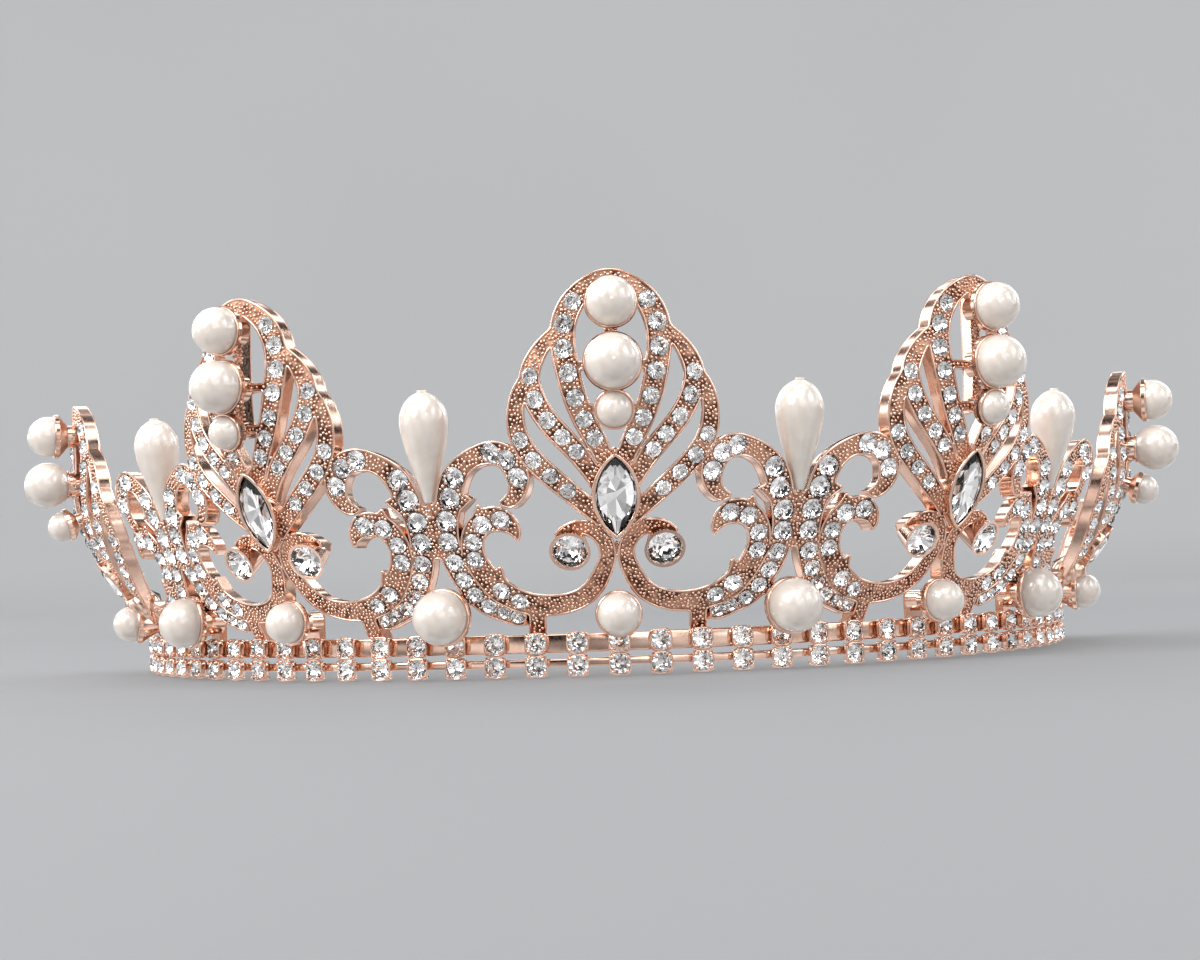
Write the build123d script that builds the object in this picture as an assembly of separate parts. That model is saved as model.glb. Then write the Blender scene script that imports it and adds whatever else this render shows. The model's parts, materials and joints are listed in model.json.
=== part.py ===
from build123d import *

# Bridal tiara, open at the back.
#
# Frame: the origin is the centre of the band's circle, on the plane that the
# claw cups stand on.  +Z is up, the front of the tiara faces -Y and +X is the
# viewer's right.  All sizes are millimetres, all angles are degrees.
#
# Every ornament is drawn flat, as the viewer in front of it sees it: x is
# sideways from the ornament's own axis and z is the height above the base.
# The drawing is pushed through a curved shell, the tiara's leaning front, and
# the result is turned about Z to its place on the arc.  An ornament's angle is
# 0 at the front and grows towards +X.

import os
from math import asin, cos, degrees, pi, sin, sqrt

# ---------------------------------------------------------------- dimensions
BAND_RADIUS = 75.0            # outside of the band's two rails
RAIL_DEPTH = 1.4
UPPER_RAIL = (3.3, 5.8)       # lowest and highest z
LOWER_RAIL = (1.4, 2.5)
BAND_END_ANGLE = 84.6

CUP_PITCH_ANGLE = 4.18        # one two-stone claw cup to the next
CUPS_EACH_SIDE = 19
CUP_WIDTH = 3.2
CUP_HEIGHT = 6.2
CUP_DEPTH = 1.1
CUP_BACK = 0.5                # extra depth that is cut away to fit the rails
CUP_CORNER = 0.8
CUP_STONE_HEIGHTS = (1.6, 4.6)
CUP_STONE_DIAMETER = 2.7

MOTIF_ANGLE = 17.14           # palmette to the next drop ornament
FRONT_FOOT_HEIGHT = 8.0       # where the lean of the front begins
FRONT_FOOT_RADIUS = 76.0
FRONT_LEAN = 12.3             # how far the top stands out beyond the foot
LEAN_RISE_TALL = 32.0         # height over which it leans out, then it is upright
LEAN_RISE_LOW = 22.0          # the same on the two low end palmettes
SCALLOP = 0.06                # how much faster the palmettes lean than the drops
SURFACE_ROUNDS = 6            # rounds that find a point of the front surface

# sheet of metal that each casting is cut from: lowest z, highest z, half width
PALMETTE_SHEET = (17.0, 54.0, 16.0)
SCROLL_SHEET = (5.0, 25.0, 23.0)
DROP_SHEET = (5.0, 33.0, 17.0)

PALMETTE_DEPTH = 1.8
SCROLL_DEPTH = 2.0
DROP_DEPTH = 2.0
LOW_DROP = 9.8                # how much lower the end palmettes sit

FIT = 0.02                    # clearance round a stone or pearl in its seat
CUT_REACH = 5.0               # how far a cutting tool stands out of the metal
STONE_SINK = 0.55             # flat back of a stone under the metal's surface
STONE_GIRDLE = 0.15
STONE_CROWN = 0.75
STONE_TABLE_SHARE = 0.58      # table diameter over stone diameter

COLLET_POINT = (5.93, 17.4)   # where the collet's axis leaves the scroll
COLLET_STONE_DIAMETER = 4.6
COLLET_RADIUS = 2.7
COLLET_FOOT_RADIUS = 1.7
COLLET_HEIGHT = 1.9
COLLET_ROOT = 1.6             # length of the collet's cone inside the scroll
COLLET_SEAT = 1.6             # height of the stone's zero above the scroll

# marquise crystal: height of its seat, length, width
TALL_MARQUISE = (23.8, 10.6, 5.3)
LOW_MARQUISE = (15.4, 6.8, 4.2)
MARQUISE_TABLE_SHARE = (0.62, 0.55)
MARQUISE_SINK = 0.5
MARQUISE_GIRDLE = 0.9
MARQUISE_CROWN = 1.9
BEZEL_WALL = 0.45
BEZEL_HEIGHT = 1.0
BEZEL_ROOT = 1.2
BEZEL_SLOPE_SHARE = 0.92      # height of the leaning bezel's drawing over its length

# stacked pearls: height of the seat, pearl radius, centre above the metal
TALL_PEARLS = ((47.5, 3.1, 4.0), (40.0, 3.5, 4.2), (34.5, 2.25, 3.1))
PEARL_CUP_WALL = 0.3
PEARL_CUP_DROP = 0.3          # rim below the pearl's centre, as a share of its radius
PEARL_CUP_ROOT = 0.6
PEARL_CUP_BAND = 0.5          # height of the cup's upright rim
PEARL_CUP_KNEE = 0.3          # where the cup leaves its foot, as a share of the stand
PEARL_FOOT_SHARE = 0.55
SPINE_WIDTH = 1.6             # bar behind the stacked pearls
SPINE_ENDS = (-1.0, 3.0)      # its ends, from the low pearl and from the top pearl
PEARL_BARS = (8.8, 6.0)       # cross bars behind the middle and the low pearl
PEARL_BAR_HEIGHT = 1.0

# base pearls: distance of the centre from the tiara's axis, height, radius
SMALL_BASE_PEARL = (80.3, 8.3, 2.8)
LARGE_BASE_PEARL = (79.9, 8.5, 3.6)
STAND_WIDTH = 2.4
STAND_ABOVE = 1.0             # top of the stand above the pearl's centre
CUP_ON_RAIL = 0.9             # how deep over the rail the cup's foot lies, as a share

# drop pearl: (height above its point, radius) down its side
DROP_PROFILE = ((2.5, 1.35), (5.5, 2.25), (9.0, 3.1), (11.4, 3.15), (13.3, 2.25))
DROP_POINT_RADIUS = 0.65
DROP_LENGTH = 14.4
DROP_NUB_RADIUS = 0.6
DROP_NUB_HEIGHT = 0.3
DROP_FOOT = (82.3, 23.7)      # distance from the tiara's axis and height of its point
DROP_TILT = 6.5
PEG_RADIUS = 0.4
PEG_LENGTH = 5.0
PEG_ROOT = 2.0                # length of the peg inside the casting
PEG_ROOM = 0.2                # space left over the peg's tip

EYELET_RADIUS = 2.5
EYELET_HOLE_RADIUS = 1.3
EYELET_ANGLE = 86.3
EYELET_HEIGHT = 3.6

PALMETTES = {
    "far_left": -4,
    "left": -2,
    "centre": 0,
    "right": 2,
    "far_right": 4,
}
DROPS = {"outer_left": -3, "inner_left": -1, "inner_right": 1, "outer_right": 3}

# ------------------------------------------------------- drawn outlines
# Each ribbon is a list of (x, z, width) stations on its centre line, drawn for
# the +X half of a symmetric ornament.  Each stone is (x, z, diameter).

INNER_LOOP = (
    (1.3, 28.0, 2.2), (2.5, 30.8, 2.7), (3.75, 33.2, 2.8), (4.8, 35.9, 2.9), (5.6, 39.1, 3.0),
    (6.1, 42.2, 3.1), (5.95, 45.4, 3.2), (4.7, 48.2, 3.0), (2.5, 50.2, 2.5), (0.0, 51.1, 2.2),
)
MIDDLE_LOOP = (
    (6.6, 45.0, 1.2), (8.3, 43.3, 1.8), (9.7, 41.3, 2.3), (10.5, 39.0, 2.6), (9.95, 36.0, 2.7),
    (8.45, 33.3, 2.7), (6.6, 31.1, 2.7), (4.9, 29.2, 2.6), (3.0, 26.5, 2.2), (1.8, 24.4, 1.8),
)
OUTER_LOOP = (
    (10.4, 39.6, 1.2), (11.8, 37.4, 1.8), (12.5, 34.5, 2.2), (12.0, 31.0, 2.5), (10.4, 28.4, 2.6),
    (8.3, 26.3, 2.6), (6.1, 24.35, 2.5), (3.5, 22.1, 2.2), (1.6, 20.3, 1.8),
)
PALMETTE_STONES = (
    (2.5, 30.8, 2.2), (3.75, 33.2, 2.25), (4.8, 35.9, 2.3), (5.6, 39.1, 2.4), (6.1, 42.2, 2.5),
    (5.95, 45.4, 2.5), (4.75, 48.2, 2.3),
    (4.9, 29.2, 2.1), (6.6, 31.1, 2.2), (8.45, 33.3, 2.25), (9.95, 36.0, 2.3), (10.5, 39.0, 2.2),
    (6.1, 24.35, 2.05), (8.3, 26.3, 2.15), (10.4, 28.4, 2.2), (12.0, 31.0, 2.15),
)
SCROLL = (
    (7.7, 18.4, 1.2), (5.9, 19.5, 1.7), (3.6, 19.5, 1.9), (1.85, 18.2, 2.1), (1.2, 16.2, 2.2),
    (2.0, 13.7, 2.4), (3.5, 11.4, 2.5), (6.35, 9.95, 2.6), (9.8, 9.7, 2.8), (13.0, 10.4, 3.0),
    (15.5, 11.9, 3.2), (17.4, 14.0, 3.0), (18.6, 16.2, 3.0), (18.8, 18.5, 3.1),
    (17.6, 20.6, 3.2), (15.2, 21.1, 3.1), (13.3, 19.8, 1.8), (12.75, 18.2, 0.4),
)
LOW_SCROLL_START = ((2.2, 12.6, 1.6), (3.6, 11.2, 2.3))
LOW_SCROLL_FROM = 7           # the low palmettes use SCROLL from this station on
SCROLL_THORN = ((14.4, 12.7), (15.3, 15.1), (16.5, 13.7))
SCROLL_CREST = ((16.8, 21.9), (17.9, 23.2), (18.9, 21.2))
SCROLL_STONES = (
    (12.9, 10.35, 2.3), (15.3, 11.8, 2.5), (18.55, 16.0, 2.4), (18.7, 18.3, 2.4),
    (17.4, 20.5, 2.6), (14.9, 21.0, 2.6),
)
SCROLL_POST = (10.65, 2.2, 9.2)     # post down to the band: x, width and top
SCROLL_LINK = (18.6, 21.2, 15.9, 16.7)  # bar to the drop ornament: x span, z span
DROP_COLUMN = (
    (10.4, 7.9, 1.6), (9.5, 8.2, 2.4), (7.8, 8.9, 2.6), (5.8, 9.8, 2.7), (4.25, 11.35, 2.8),
    (3.1, 13.3, 2.9), (2.25, 15.5, 3.1), (1.85, 18.0, 3.3), (1.95, 20.8, 3.5), (2.7, 23.5, 3.6),
    (3.7, 26.2, 3.5),
)
DROP_ARCH = (
    (5.4, 28.2, 2.8), (7.2, 29.2, 2.6), (9.3, 29.6, 3.0), (11.5, 28.8, 3.2), (12.7, 26.4, 3.1),
    (12.1, 24.1, 2.2), (10.9, 23.2, 1.6), (9.7, 23.2, 0.4),
)
DROP_LEAF = ((3.9, 22.0), (6.1, 23.9), (4.4, 24.8))
DROP_SPINE = (1.4, 16.3, 23.2)      # web between the columns: width and z span
DROP_BRIDGE = (8.8, 1.6, 3.0)       # bar behind the base pearl: width, z span above it
DROP_STONES = (
    (9.4, 8.25, 1.9), (7.8, 8.9, 2.0), (5.8, 9.8, 2.2), (4.25, 11.4, 2.3), (3.1, 13.4, 2.4),
    (2.3, 15.7, 2.6), (1.85, 18.4, 2.8), (2.05, 21.1, 3.0), (2.9, 24.0, 3.1),
)
COLUMN_TOP_STONE = (3.85, 26.7, 3.0)
ARCH_STONES = ((9.3, 29.55, 2.7), (11.4, 28.65, 2.6), (12.6, 26.3, 2.7))
LOW_SIDE_REACH = 0.77         # the arch beside a low palmette is this much narrower


# ---------------------------------------------------------------- the front
def front_radius(angle, z, rise):
    """Distance of the front surface from the tiara's axis."""
    share = min((z - FRONT_FOOT_HEIGHT) / rise, 1.0)
    lean = sin(share * pi / 2) if share > 0 else share * pi / 2
    above = max(z - FRONT_FOOT_HEIGHT, 0.0)
    sag = SCALLOP * above * (1 - cos(pi * angle / MOTIF_ANGLE))
    return FRONT_FOOT_RADIUS + FRONT_LEAN * lean - sag


def front_y(x, z, place, rise):
    """How far ahead of the axis the surface is at (x, z) of the ornament at place."""
    radius = FRONT_FOOT_RADIUS
    for _ in range(SURFACE_ROUNDS):
        angle = degrees(asin(x / radius)) + place * MOTIF_ANGLE
        radius = front_radius(angle, z, rise)
    return sqrt(radius ** 2 - x ** 2)


def front_seat(x, z, place, rise):
    """Plane on the front surface at (x, z), its z axis pointing out of the metal."""
    step = 0.05
    here = front_y(x, z, place, rise)
    slope_x = (front_y(x + step, z, place, rise) - front_y(x - step, z, place, rise)) / (2 * step)
    slope_z = (front_y(x, z + step, place, rise) - front_y(x, z - step, place, rise)) / (2 * step)
    normal = Vector(-slope_x, -1, -slope_z)
    return Plane(origin=(x, -here, z), x_dir=(1, -slope_x, 0), z_dir=normal)


def front_shell(place, rise, depth, sheet, drop=0.0):
    """Solid sheet under the front surface, as deep as the casting cut from it."""
    bottom, top, half_width = (sheet[0] - drop, sheet[1] - drop, sheet[2])
    columns = 9
    rows = 12
    sections = []
    for row in range(rows + 1):
        z = bottom + (top - bottom) * row / rows
        xs = [half_width * (2 * i / (columns - 1) - 1) for i in range(columns)]
        face = [Vector(x, -front_y(x, z, place, rise), z) for x in xs]
        back = [point + Vector(0, depth, 0) for point in face]
        edges = [
            Edge.make_spline(face),
            Edge.make_line(face[-1], back[-1]),
            Edge.make_spline(back[::-1]),
            Edge.make_line(back[0], face[0]),
        ]
        sections.append(Wire(edges))
    return Solid.make_loft(sections)


# ---------------------------------------------------------------- drawing
def mirrored(stations):
    """The same stations on the -X side, in reverse order."""
    return tuple((-x, z, *rest) for x, z, *rest in reversed(stations))


def ribbon(stations):
    """Flat strip of changing width along a smooth centre line."""
    first_side = []
    second_side = []
    last = len(stations) - 1
    for i, (x, z, width) in enumerate(stations):
        before = stations[max(i - 1, 0)]
        after = stations[min(i + 1, last)]
        along = Vector(after[0] - before[0], after[1] - before[1]).normalized()
        across = Vector(-along.Y, along.X) * (width / 2)
        first_side.append(Vector(x, z) + across)
        second_side.append(Vector(x, z) - across)
    edges = [
        Edge.make_spline(second_side),
        Edge.make_line(second_side[-1], first_side[-1]),
        Edge.make_spline(first_side[::-1]),
        Edge.make_line(first_side[0], second_side[0]),
    ]
    return Sketch() + Face(Wire(edges))


def patch(corners):
    """Straight-sided flat patch."""
    return Sketch() + make_face(Polyline(*corners, close=True))


def bar(left, right, bottom, top):
    """Upright rectangle."""
    centre = ((left + right) / 2, (bottom + top) / 2)
    return Pos(*centre) * Rectangle(right - left, top - bottom)


def lens(length, width):
    """Pointed oval, its long axis along Y."""
    right = ThreePointArc((0, -length / 2), (width / 2, 0), (0, length / 2))
    left = ThreePointArc((0, length / 2), (-width / 2, 0), (0, -length / 2))
    return make_face([right, left])


def prism(sketch):
    """A front drawing carried straight through the whole front half of the tiara."""
    reach = FRONT_FOOT_RADIUS + FRONT_LEAN + CUT_REACH
    return extrude(Plane.XZ * sketch, amount=reach, dir=(0, -1, 0))


def push(sketch, shell):
    """The part of the shell that stands behind a front drawing."""
    return Part() + (prism(sketch) & shell)


# ---------------------------------------------------------------- small parts
def round_stone(diameter):
    """Flat-backed round crystal, its back STONE_SINK under the local zero."""
    radius = diameter / 2
    table = radius * STONE_TABLE_SHARE
    side = Polyline(
        (0, -STONE_SINK), (radius, -STONE_SINK), (radius, STONE_GIRDLE), (table, STONE_CROWN),
        (0, STONE_CROWN), close=True,
    )
    return revolve(Plane.XZ * make_face(side), axis=Axis.Z)


def stone_pocket(diameter):
    """Space that a round stone's seat needs, open to the front."""
    depth = STONE_SINK + FIT
    height = depth + STONE_CROWN + 1
    return Pos(0, 0, height / 2 - depth) * Cylinder(diameter / 2 + FIT, height)


def marquise_stone(length, width):
    """Pointed oval crystal with a smaller flat table."""
    outline = lens(length, width)
    body = extrude(Pos(0, 0, -MARQUISE_SINK) * outline, amount=MARQUISE_SINK + MARQUISE_GIRDLE)
    long_share, wide_share = MARQUISE_TABLE_SHARE
    table = Pos(0, 0, MARQUISE_CROWN) * lens(length * long_share, width * wide_share)
    girdle = Pos(0, 0, MARQUISE_GIRDLE) * outline
    return body + loft([girdle.face(), table.face()])


def pearl_cup(radius, height):
    """Turned cup on a foot, with a round seat for a pearl centred at height."""
    rim = height - PEARL_CUP_DROP * radius
    foot = radius * PEARL_FOOT_SHARE
    outside = radius + PEARL_CUP_WALL
    side = Polyline(
        (0, -PEARL_CUP_ROOT), (foot, -PEARL_CUP_ROOT), (foot, PEARL_CUP_KNEE * height),
        (outside, rim - PEARL_CUP_BAND), (outside, rim), (0, rim), close=True,
    )
    cup = revolve(Plane.XZ * make_face(side), axis=Axis.Z)
    return cup - Pos(0, 0, height) * Sphere(radius + FIT)


def base_cup(pearl, band_top):
    """Cup for a base pearl, with the stand that joins it to the band's top rail."""
    distance, height, radius = pearl
    inside = BAND_RADIUS - RAIL_DEPTH
    foot = inside + RAIL_DEPTH * CUP_ON_RAIL
    outward = Plane(origin=(0, -foot, height), x_dir=(1, 0, 0), z_dir=(0, -1, 0))
    cup = outward * pearl_cup(radius, distance - foot)
    stand_height = height + STAND_ABOVE - band_top
    stand = Box(STAND_WIDTH, foot - inside, stand_height)
    stand = Pos(0, -(inside + foot) / 2, band_top + stand_height / 2) * stand
    seat = Pos(0, -distance, height) * Sphere(radius + FIT)
    return cup + stand - seat


def drop_side(growth):
    """Curved side of a drop pearl, from its blunt point to the rim of its nub."""
    stations = ((0.0, DROP_POINT_RADIUS),) + DROP_PROFILE + ((DROP_LENGTH, DROP_NUB_RADIUS),)
    return Spline(*[(radius + growth, height) for height, radius in stations])


def drop_pearl():
    """Drop-shaped pearl on its point at the local origin, bored for its peg."""
    bore = PEG_RADIUS + FIT
    bore_top = PEG_LENGTH + PEG_ROOM
    nub_top = DROP_LENGTH + DROP_NUB_HEIGHT
    lower = Polyline(
        (0, nub_top), (0, bore_top), (bore, bore_top), (bore, 0), (DROP_POINT_RADIUS, 0),
    )
    upper = Polyline((DROP_NUB_RADIUS, DROP_LENGTH), (DROP_NUB_RADIUS, nub_top), (0, nub_top))
    return revolve(Plane.XZ * make_face([lower, drop_side(0.0), upper]), axis=Axis.Z)


def drop_seat():
    """Space that a drop pearl and its clearance take, with a hole left for the peg."""
    point = DROP_POINT_RADIUS + FIT
    upper = Polyline(
        (DROP_NUB_RADIUS + FIT, DROP_LENGTH), (PEG_RADIUS, DROP_LENGTH), (PEG_RADIUS, -FIT),
        (point, -FIT), (point, 0),
    )
    return revolve(Plane.XZ * make_face([upper, drop_side(FIT)]), axis=Axis.Z)


# ---------------------------------------------------------------- castings
def palmette_drawing(low):
    """Three nested loops, the bars behind the pearls and the foot of the bezel."""
    height, length, width = LOW_MARQUISE if low else TALL_MARQUISE
    drop = LOW_DROP if low else 0.0
    drawing = ribbon(INNER_LOOP[:-1] + mirrored(INNER_LOOP))
    for loop in (MIDDLE_LOOP, OUTER_LOOP):
        drawing += ribbon(loop)
        drawing += ribbon(mirrored(loop))
    drawing += pearl_bars()
    foot = lens((length + 4 * BEZEL_WALL) * BEZEL_SLOPE_SHARE, width + 2 * BEZEL_WALL)
    return Pos(0, -drop) * drawing + Pos(0, height) * foot


def bezel(low):
    """Upright wall round the marquise, still without its seat."""
    height, length, width = LOW_MARQUISE if low else TALL_MARQUISE
    outline = lens(length + 3 * BEZEL_WALL, width + 2 * BEZEL_WALL)
    wall = extrude(Pos(0, 0, -BEZEL_ROOT) * outline, amount=BEZEL_ROOT + BEZEL_HEIGHT)
    return front_seat(0, height, 0, lean_rise(low)) * wall


def palmette(low):
    """Casting of the loops with a bezel for the marquise and three pearl cups."""
    height, length, width = LOW_MARQUISE if low else TALL_MARQUISE
    drop = LOW_DROP if low else 0.0
    rise = lean_rise(low)
    casting = push(palmette_drawing(low), front_shell(0, rise, PALMETTE_DEPTH, PALMETTE_SHEET, drop))
    casting += bezel(low)
    pocket_outline = lens(length + 4 * FIT, width + 2 * FIT)
    pocket = extrude(Pos(0, 0, -MARQUISE_SINK - FIT) * pocket_outline, amount=CUT_REACH)
    tools = [front_seat(0, height, 0, rise) * pocket]
    for z, radius, stand in TALL_PEARLS:
        seat = front_seat(0, z - drop, 0, rise)
        casting += seat * pearl_cup(radius, stand)
        tools.append(seat * Pos(0, 0, stand) * Sphere(radius + FIT))
    for x, z, diameter in both_sides(PALMETTE_STONES):
        tools.append(front_seat(x, z - drop, 0, rise) * stone_pocket(diameter))
    return cut_all(casting, tools)


def lean_rise(low):
    """Height over which a palmette leans out."""
    return LEAN_RISE_LOW if low else LEAN_RISE_TALL


def pearl_bars():
    """Upright and cross bars that carry the stacked pearls."""
    heights = [pearl[0] for pearl in TALL_PEARLS]
    half_width = SPINE_WIDTH / 2
    bars = bar(-half_width, half_width, heights[2] + SPINE_ENDS[0], heights[0] + SPINE_ENDS[1])
    for height, length in zip(heights[1:], PEARL_BARS):
        half_height = PEARL_BAR_HEIGHT / 2
        bars += bar(-length / 2, length / 2, height - half_height, height + half_height)
    return bars


def both_sides(stones):
    """The stones and their mirror images."""
    return tuple(stones) + tuple((-x, z, size) for x, z, size in stones)


def cut_all(body, tools):
    """Cut a list of tools from a body and keep its one large solid."""
    for tool in tools:
        body = body - tool
    return max(body.solids(), key=lambda solid: solid.volume)


def scroll_drawing(low):
    """The +X scroll with its thorn, its leafy crest, its post and its linking bar."""
    stations = LOW_SCROLL_START + SCROLL[LOW_SCROLL_FROM:] if low else SCROLL
    post_x, post_width, post_top = SCROLL_POST
    drawing = ribbon(stations)
    drawing += patch(SCROLL_THORN)
    drawing += patch(SCROLL_CREST)
    drawing += bar(post_x - post_width / 2, post_x + post_width / 2, UPPER_RAIL[1], post_top)
    drawing += bar(*SCROLL_LINK)
    drawing &= bar(0.0, SCROLL_SHEET[2], SCROLL_SHEET[0], SCROLL_SHEET[1])
    return drawing - palmette_drawing(low)


def scroll(low, small_cup):
    """The +X scroll of a palmette, from its collet round to its leafy head."""
    shell = front_shell(0, LEAN_RISE_TALL, SCROLL_DEPTH, SCROLL_SHEET)
    casting = push(scroll_drawing(low), shell)
    tools = [bezel(low), small_cup]
    for x, z, diameter in SCROLL_STONES:
        tools.append(front_seat(x, z, 0, LEAN_RISE_TALL) * stone_pocket(diameter))
    for x, z, diameter in DROP_STONES:
        seat = front_seat(-x, z, 1, LEAN_RISE_TALL)
        tools.append(turn(seat * stone_pocket(diameter), 1))
    if not low:
        cone_height = COLLET_ROOT + COLLET_HEIGHT
        cone = Cone(COLLET_FOOT_RADIUS, COLLET_RADIUS, cone_height)
        casting += collet_place(COLLET_HEIGHT - cone_height / 2) * cone
        tools.append(collet_place(COLLET_SEAT) * stone_pocket(COLLET_STONE_DIAMETER))
    return cut_all(casting, tools)


def collet_place(height):
    """Local frame on the axis of the +X scroll's collet, at a height over the metal."""
    return front_seat(*COLLET_POINT, 0, LEAN_RISE_TALL) * Pos(0, 0, height)


def drop_half(reach):
    """Drawing of one column of a drop ornament and the arch that grows from it."""
    arch = tuple((DROP_ARCH[0][0] + (x - DROP_ARCH[0][0]) * reach, z, width)
                 for x, z, width in DROP_ARCH)
    return ribbon(DROP_COLUMN + arch) + patch(DROP_LEAF)


def drop_stones(reach):
    """Stones of one half of a drop ornament."""
    start = DROP_ARCH[0][0]
    arch = tuple((start + (x - start) * reach, z, size) for x, z, size in ARCH_STONES)
    return DROP_STONES + (COLUMN_TOP_STONE,) + arch


def neighbour_drawing(low):
    """Outline of a palmette and both its scrolls, as one drawing."""
    half = scroll_drawing(low)
    return palmette_drawing(low) + half + mirror(half, about=Plane.YZ)


def drop_frame(plus_reach, minus_reach, plus_low, large_cup):
    """Two columns and arches round a drop pearl, cut clear of the neighbours."""
    drawing = drop_half(plus_reach)
    drawing += mirror(drop_half(minus_reach), about=Plane.YZ)
    spine_width, spine_bottom, spine_top = DROP_SPINE
    drawing += bar(-spine_width / 2, spine_width / 2, spine_bottom, spine_top)
    bridge_width, bridge_bottom, bridge_top = DROP_BRIDGE
    pearl_height = LARGE_BASE_PEARL[1]
    drawing += bar(-bridge_width / 2, bridge_width / 2,
                   pearl_height + bridge_bottom, pearl_height + bridge_top)
    casting = push(drawing, front_shell(1, LEAN_RISE_TALL, DROP_DEPTH, DROP_SHEET))
    peg = Pos(0, 0, (PEG_LENGTH - PEG_ROOT) / 2) * Cylinder(PEG_RADIUS, PEG_LENGTH + PEG_ROOT)
    casting += drop_place() * peg
    tools = [
        turn(prism(neighbour_drawing(plus_low)), 1),
        turn(prism(neighbour_drawing(False)), -1),
        drop_place() * drop_seat(),
        large_cup,
    ]
    for x, z, diameter in drop_stones(plus_reach):
        tools.append(front_seat(x, z, 1, LEAN_RISE_TALL) * stone_pocket(diameter))
    for x, z, diameter in drop_stones(minus_reach):
        tools.append(front_seat(-x, z, 1, LEAN_RISE_TALL) * stone_pocket(diameter))
    return cut_all(casting, tools)


def drop_place():
    """Local frame of a drop pearl: its point, with z up its axis."""
    distance, height = DROP_FOOT
    return Location((0, -distance, height), (DROP_TILT, 0, 0))


# ---------------------------------------------------------------- the band
def rail(span):
    """One of the band's two flat rails, bent to the arc."""
    low, high = span
    inside = BAND_RADIUS - RAIL_DEPTH
    section = Pos((inside + BAND_RADIUS) / 2, (low + high) / 2) * Rectangle(RAIL_DEPTH, high - low)
    arc = revolve(Plane.XZ * section, axis=Axis.Z, revolution_arc=2 * BAND_END_ANGLE)
    arc = Rot(0, 0, -90 - BAND_END_ANGLE) * arc
    for angle in (-EYELET_ANGLE, EYELET_ANGLE):
        disc = Plane.XZ * Pos(0, EYELET_HEIGHT) * Circle(EYELET_RADIUS)
        arc -= Rot(0, 0, angle) * extrude(disc, amount=BAND_RADIUS + CUT_REACH)
    return arc.solids()


def claw_cup():
    """Setting for two stones, one above the other, curved behind to fit the rails."""
    block_depth = CUP_DEPTH + CUP_BACK
    middle = -(BAND_RADIUS + CUP_DEPTH - block_depth / 2)
    block = Pos(0, middle, CUP_HEIGHT / 2) * Box(CUP_WIDTH, block_depth, CUP_HEIGHT)
    block = fillet(block.edges().filter_by(Axis.Y), CUP_CORNER)
    block -= Cylinder(BAND_RADIUS, 4 * CUP_HEIGHT)
    for place in cup_stone_places():
        block -= place * stone_pocket(CUP_STONE_DIAMETER)
    return block.solids()[0]


def cup_stone_places():
    """Seats of the two stones on the front of a claw cup."""
    surface = BAND_RADIUS + CUP_DEPTH
    return [Plane(origin=(0, -surface, z), x_dir=(1, 0, 0), z_dir=(0, -1, 0))
            for z in CUP_STONE_HEIGHTS]


def eyelet():
    """Flat ring that ends the band, for a ribbon or a hair pin."""
    ring = Circle(EYELET_RADIUS) - Circle(EYELET_HOLE_RADIUS)
    back = Plane.XZ.offset(BAND_RADIUS - RAIL_DEPTH) * Pos(0, EYELET_HEIGHT) * ring
    return extrude(back, amount=RAIL_DEPTH).solids()[0]


# ---------------------------------------------------------------- writing
def turn(shape, place):
    """Turn an ornament from the front to its place on the arc."""
    return Rot(0, 0, place * MOTIF_ANGLE) * shape


def is_end(place, places):
    """Whether an ornament is the last of its kind on either side of the arc."""
    return abs(place) == max(places.values())


def save(name, solids):
    """Write one node as a group of its separate solids."""
    flat = [solid for item in solids for solid in item.solids()]
    shape = flat[0] if len(flat) == 1 else Compound(flat)
    shape.label = name
    export_step(shape, f"parts/{name}.step")
    print(f"{name}: {len(flat)} solids")


def save_band():
    """Rails, claw cups, their stones and the end eyelets."""
    save("upper_rail", [rail(UPPER_RAIL)[0]])
    save("lower_rail", [rail(LOWER_RAIL)[0]])
    cup = claw_cup()
    stones = [place * round_stone(CUP_STONE_DIAMETER) for place in cup_stone_places()]
    cups = []
    crystals = []
    for n in range(-CUPS_EACH_SIDE, CUPS_EACH_SIDE + 1):
        spin = Rot(0, 0, n * CUP_PITCH_ANGLE)
        cups.append(spin * cup)
        crystals += [spin * stone for stone in stones]
    save("band_claw_cups", cups)
    save("band_crystals", crystals)
    save("end_eyelet_left", [Rot(0, 0, -EYELET_ANGLE) * eyelet()])
    save("end_eyelet_right", [Rot(0, 0, EYELET_ANGLE) * eyelet()])


def save_palmettes(tall, low):
    """Palmettes with their stacked pearls, crystals and marquise stones."""
    for name, place in PALMETTES.items():
        is_low = is_end(place, PALMETTES)
        height, length, width = LOW_MARQUISE if is_low else TALL_MARQUISE
        rise = lean_rise(is_low)
        drop = LOW_DROP if is_low else 0.0
        save(f"palmette_{name}", [turn(low if is_low else tall, place)])
        save(f"palmette_pearls_{name}", [
            turn(front_seat(0, z - drop, 0, rise) * Pos(0, 0, stand) * Sphere(radius), place)
            for z, radius, stand in TALL_PEARLS])
        save(f"palmette_crystals_{name}", [
            turn(front_seat(x, z - drop, 0, rise) * round_stone(size), place)
            for x, z, size in both_sides(PALMETTE_STONES)])
        save(f"marquise_crystal_{name}", [
            turn(front_seat(0, height, 0, rise) * marquise_stone(length, width), place)])


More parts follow.
